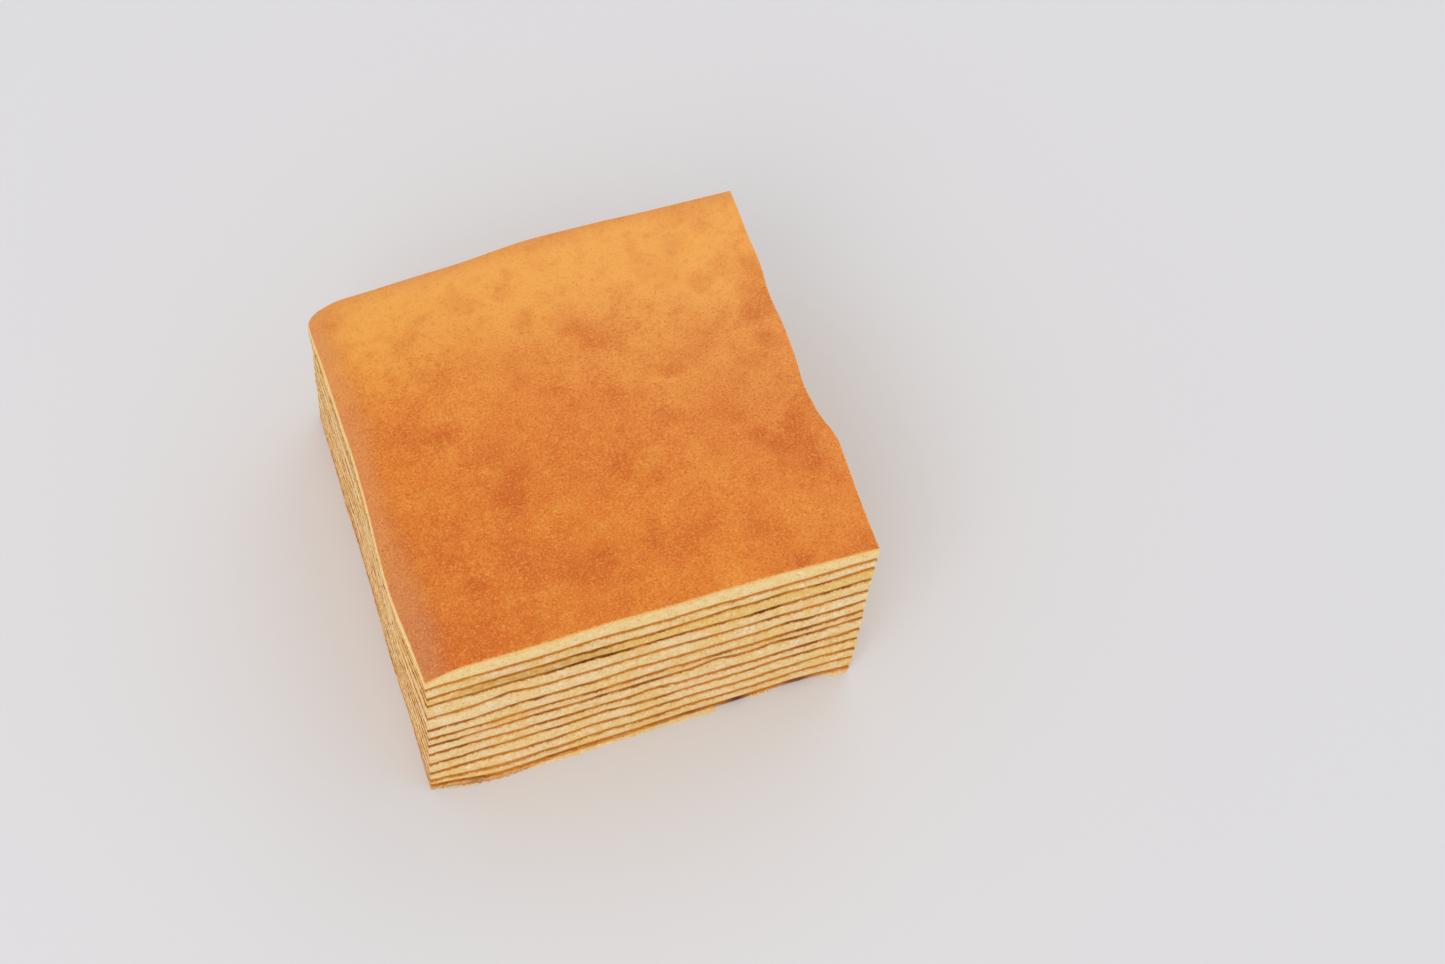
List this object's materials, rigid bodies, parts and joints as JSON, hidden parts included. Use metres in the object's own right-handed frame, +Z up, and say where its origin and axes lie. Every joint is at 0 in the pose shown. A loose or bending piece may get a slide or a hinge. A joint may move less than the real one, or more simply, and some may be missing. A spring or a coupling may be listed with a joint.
{
  "type": "layered spice cake block",
  "caption": "Square block of baked layer cake with thin browned layers and a smooth golden crust, cut on two sides, resting on its flat base.",
  "frame": {"origin": "middle of the bounding box at the flat base, on the surface that the cake stands on", "axes": "+Z up through the layers, -Y towards the front cut, +X towards the right cut, the rim of the whole cake at -X and +Y"},
  "size_m": [0.1023, 0.1048, 0.0498],
  "materials": {
    "layer_01": "matte",
    "layer_02": "matte",
    "layer_03": "matte",
    "layer_04": "matte",
    "layer_05": "matte",
    "layer_06": "matte",
    "layer_07": "matte",
    "layer_08": "matte",
    "layer_09": "matte",
    "layer_10": "matte",
    "layer_11": "matte",
    "layer_12": "matte",
    "layer_13": "satin"
  },
  "bodies": {
    "root": {"layer_01": "layer_01", "layer_02": "layer_02", "layer_03": "layer_03", "layer_04": "layer_04", "layer_05": "layer_05", "layer_06": "layer_06", "layer_07": "layer_07", "layer_08": "layer_08", "layer_09": "layer_09", "layer_10": "layer_10", "layer_11": "layer_11", "layer_12": "layer_12", "layer_13": "layer_13"}
  },
  "joints": []
}
